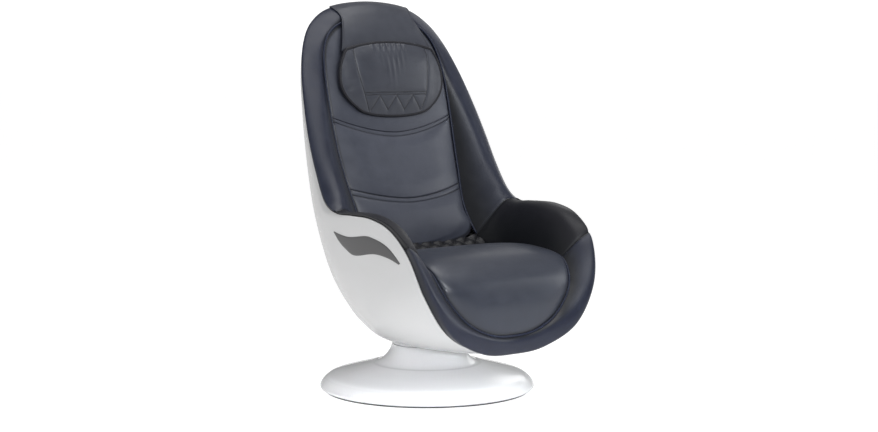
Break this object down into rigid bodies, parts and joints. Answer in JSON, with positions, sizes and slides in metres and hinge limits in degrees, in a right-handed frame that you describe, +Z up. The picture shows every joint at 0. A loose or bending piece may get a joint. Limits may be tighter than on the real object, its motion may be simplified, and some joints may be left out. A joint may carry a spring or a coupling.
{
  "type": "massage chair",
  "caption": "Egg-shaped massage lounge chair: glossy shell, leather roll, pads and pillow over a roller carriage, on a swivelling round pedestal.",
  "frame": {"origin": "on the swivel axis at floor level, at the centre of the floor pad", "axes": "+Z up along the swivel axis, the sitter faces -Y, +X is on the sitter's left"},
  "size_m": [0.7182, 0.7702, 1.1915],
  "materials": {
    "rubber_black": "matt black rubber",
    "steel_plate": "zinc plated steel",
    "bearing_steel": "ground bearing steel",
    "frame_paint": "black powder coat",
    "pedestal_white": "white gloss moulding",
    "shell_white": "white gloss moulding",
    "inlay_grey": "satin grey trim",
    "leather_navy": "navy synthetic leather, fine grain",
    "leather_charcoal": "charcoal synthetic leather, fine grain",
    "plywood": "birch plywood",
    "aluminium_cast": "die cast aluminium",
    "brass_nut": "machined brass",
    "bushing_ivory": "acetal",
    "roller_rubber": "grey elastomer roller",
    "plastic_black": "black moulded plastic",
    "casing_steel": "folded sheet steel",
    "heater_cloth": "heating mat fabric"
  },
  "bodies": {
    "pedestal": {"floor_pad": "rubber_black", "base_plate": "steel_plate", "base_bolts": "steel_plate", "column_tube": "steel_plate", "pedestal_cover": "pedestal_white", "bearing_lower_race": "bearing_steel", "bearing_balls": "bearing_steel"},
    "chair": {"bearing_upper_race": "bearing_steel", "swivel_hub": "steel_plate", "swivel_bolts": "steel_plate", "swivel_collar": "pedestal_white", "seat_frame": "frame_paint", "seat_board": "plywood", "shell_body": "shell_white", "shell_back_panel": "shell_white", "panel_screws": "steel_plate", "side_inlay_right": "inlay_grey", "side_inlay_left": "inlay_grey", "crown_bolster": "leather_navy", "arm_bolster_right": "leather_navy", "arm_bolster_left": "leather_navy", "front_bolster": "leather_navy", "back_pad": "leather_charcoal", "seat_rear_quilt": "leather_charcoal", "seat_cushion": "leather_charcoal", "crown_strap": "leather_charcoal", "back_frame": "frame_paint", "frame_bolts": "steel_plate", "rail_right": "bearing_steel", "rail_left": "bearing_steel", "drive_motor": "frame_paint", "heater_mat": "heater_cloth", "vibration_motors": "plastic_black", "power_supply": "casing_steel", "control_box": "plastic_black", "mains_inlet": "plastic_black"},
    "lead_screw": {"lead_screw": "bearing_steel"},
    "carriage": {"carriage_frame": "aluminium_cast", "screw_nut": "brass_nut", "slide_bushings": "bushing_ivory", "kneading_gearmotor": "frame_paint"},
    "kneading_shaft": {"kneading_shaft": "bearing_steel"},
    "arm_right": {"massage_arm_right": "aluminium_cast"},
    "arm_left": {"massage_arm_left": "aluminium_cast"},
    "roller_upper_right": {"roller_upper_right": "roller_rubber"},
    "roller_lower_right": {"roller_lower_right": "roller_rubber"},
    "roller_upper_left": {"roller_upper_left": "roller_rubber"},
    "roller_lower_left": {"roller_lower_left": "roller_rubber"},
    "power_switch": {"power_switch": "plastic_black"},
    "pillow": {"head_pillow": "leather_charcoal", "pillow_flap": "leather_charcoal"}
  },
  "joints": [
    {"name": "chair_swivel", "type": "hinge", "parent": "pedestal", "child": "chair", "pos_m": [0, 0, 0.1], "axis": [0, 0, 1], "continuous": true},
    {"name": "carriage_travel", "type": "slide", "parent": "chair", "child": "carriage", "axis": [0, 0.3007, 0.9537], "range_m": [0, 0.27]},
    {"name": "lead_screw_spin", "type": "hinge", "parent": "chair", "child": "lead_screw", "pos_m": [0, 0.16546, 0.51753], "axis": [0, 0.3007, 0.9537], "continuous": true},
    {"name": "kneading_shaft_spin", "type": "hinge", "parent": "carriage", "child": "kneading_shaft", "pos_m": [0, 0.17386, 0.60401], "axis": [1, 0, 0], "continuous": true},
    {"name": "arm_right_rock", "type": "hinge", "parent": "carriage", "child": "arm_right", "pos_m": [0, 0.17386, 0.60401], "axis": [1, 0, 0], "range_deg": [-6, 6]},
    {"name": "arm_left_rock", "type": "hinge", "parent": "carriage", "child": "arm_left", "pos_m": [0, 0.17386, 0.60401], "axis": [1, 0, 0], "range_deg": [-6, 6]},
    {"name": "roller_upper_right_spin", "type": "hinge", "parent": "arm_right", "child": "roller_upper_right", "pos_m": [0, 0.17554, 0.6559], "axis": [1, 0, 0], "continuous": true},
    {"name": "roller_lower_right_spin", "type": "hinge", "parent": "arm_right", "child": "roller_lower_right", "pos_m": [0, 0.14547, 0.56053], "axis": [1, 0, 0], "continuous": true},
    {"name": "roller_upper_left_spin", "type": "hinge", "parent": "arm_left", "child": "roller_upper_left", "pos_m": [0, 0.17554, 0.6559], "axis": [1, 0, 0], "continuous": true},
    {"name": "roller_lower_left_spin", "type": "hinge", "parent": "arm_left", "child": "roller_lower_left", "pos_m": [0, 0.14547, 0.56053], "axis": [1, 0, 0], "continuous": true},
    {"name": "power_rocker", "type": "hinge", "parent": "chair", "child": "power_switch", "pos_m": [0.023, 0.2532, 0.39755], "axis": [-1, 0, 0], "range_deg": [0, 12]},
    {"name": "pillow_flip", "type": "hinge", "parent": "chair", "child": "pillow", "pos_m": [0, 0.264, 1.171], "axis": [-1, 0, 0], "range_deg": [0, 120]}
  ],
  "couplings": [
    {"joint": "lead_screw_spin", "follows": "carriage_travel", "rad_per_m": 628.32}
  ]
}
